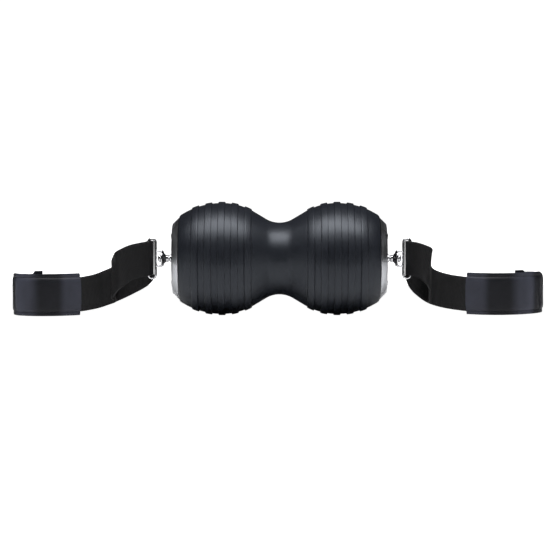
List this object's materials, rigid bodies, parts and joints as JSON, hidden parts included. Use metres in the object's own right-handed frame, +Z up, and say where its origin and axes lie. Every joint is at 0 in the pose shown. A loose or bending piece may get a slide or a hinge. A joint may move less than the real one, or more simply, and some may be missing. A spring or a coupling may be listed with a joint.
{
  "type": "double ball massage roller",
  "caption": "Peanut-shaped vibrating massage roller with ridged rubber balls, metal end trims and a swivelling webbing hand strap with padded grip at each end",
  "frame": {"origin": "on the table under the middle of the roller", "axes": "+X along the roller's axis towards the right strap, +Y to the rear, +Z up"},
  "size_m": [0.5362, 0.1124, 0.1125],
  "materials": {
    "rubber": "satin moulded rubber",
    "black_plastic": "fine satin",
    "trim_metal": "satin turned",
    "chrome": "bright plated",
    "steel": "plain",
    "brass": "plain",
    "circuit": "solder mask",
    "grey_plastic": "satin",
    "cell_wrap": "shrink wrap",
    "lead_wire": "insulation",
    "lens": "clear milky",
    "webbing": "ribbed nylon weave",
    "grip_pad": "smooth coated neoprene"
  },
  "bodies": {
    "roller": {"rubber_sleeve": "rubber", "core_front": "black_plastic", "core_rear": "black_plastic", "trim_ring_left": "trim_metal", "trim_ring_right": "trim_metal", "end_cap_left": "black_plastic", "end_cap_right": "black_plastic", "swivel_pin_left": "chrome", "swivel_pin_right": "chrome", "pin_washer_left": "steel", "pin_washer_right": "steel", "pin_nut_left": "steel", "pin_nut_right": "steel", "cap_screw_left_1": "steel", "cap_screw_left_2": "steel", "cap_screw_left_3": "steel", "cap_screw_right_1": "steel", "cap_screw_right_2": "steel", "cap_screw_right_3": "steel", "control_board": "circuit", "board_screw_1": "steel", "board_screw_2": "steel", "board_screw_3": "steel", "board_spacer_1": "brass", "board_spacer_2": "brass", "board_spacer_3": "brass", "button_switch": "black_plastic", "charge_socket": "black_plastic", "level_lens_1": "lens", "level_lens_2": "lens", "level_lens_3": "lens", "motor": "steel", "motor_mount": "grey_plastic", "motor_bush_left": "brass", "motor_bush_right": "brass", "battery_holder": "black_plastic", "battery_cell_1": "cell_wrap", "battery_cell_2": "cell_wrap", "battery_lead": "lead_wire", "motor_lead": "lead_wire"},
    "rotor": {"rotor_shaft": "steel", "eccentric_weight_left": "steel", "eccentric_weight_right": "steel"},
    "button": {"power_button": "grey_plastic"},
    "left_ring": {"strap_ring_left": "chrome"},
    "left_handle": {"webbing_left": "webbing", "grip_outer_left": "grip_pad", "grip_inner_left": "grip_pad"},
    "right_ring": {"strap_ring_right": "chrome"},
    "right_handle": {"webbing_right": "webbing", "grip_outer_right": "grip_pad", "grip_inner_right": "grip_pad"}
  },
  "joints": [
    {"name": "rotor_spin", "type": "hinge", "parent": "roller", "child": "rotor", "pos_m": [0, 0, 0.05629], "axis": [1, 0, 0], "continuous": true},
    {"name": "power_button_press", "type": "slide", "parent": "roller", "child": "button", "axis": [1, 0, 0], "range_m": [0, 0.0009], "stiffness_N_per_m": 500, "springref_m": -0.0004},
    {"name": "left_swivel", "type": "hinge", "parent": "roller", "child": "left_ring", "pos_m": [-0.1145, 0, 0.05629], "axis": [1, 0, 0], "continuous": true},
    {"name": "left_strap_swing", "type": "hinge", "parent": "left_ring", "child": "left_handle", "pos_m": [-0.131, 0, 0.05629], "axis": [0, 0, 1], "range_deg": [-10, 45]},
    {"name": "right_swivel", "type": "hinge", "parent": "roller", "child": "right_ring", "pos_m": [0.1145, 0, 0.05629], "axis": [1, 0, 0], "continuous": true},
    {"name": "right_strap_swing", "type": "hinge", "parent": "right_ring", "child": "right_handle", "pos_m": [0.131, 0, 0.05629], "axis": [0, 0, 1], "range_deg": [-45, 10]}
  ]
}
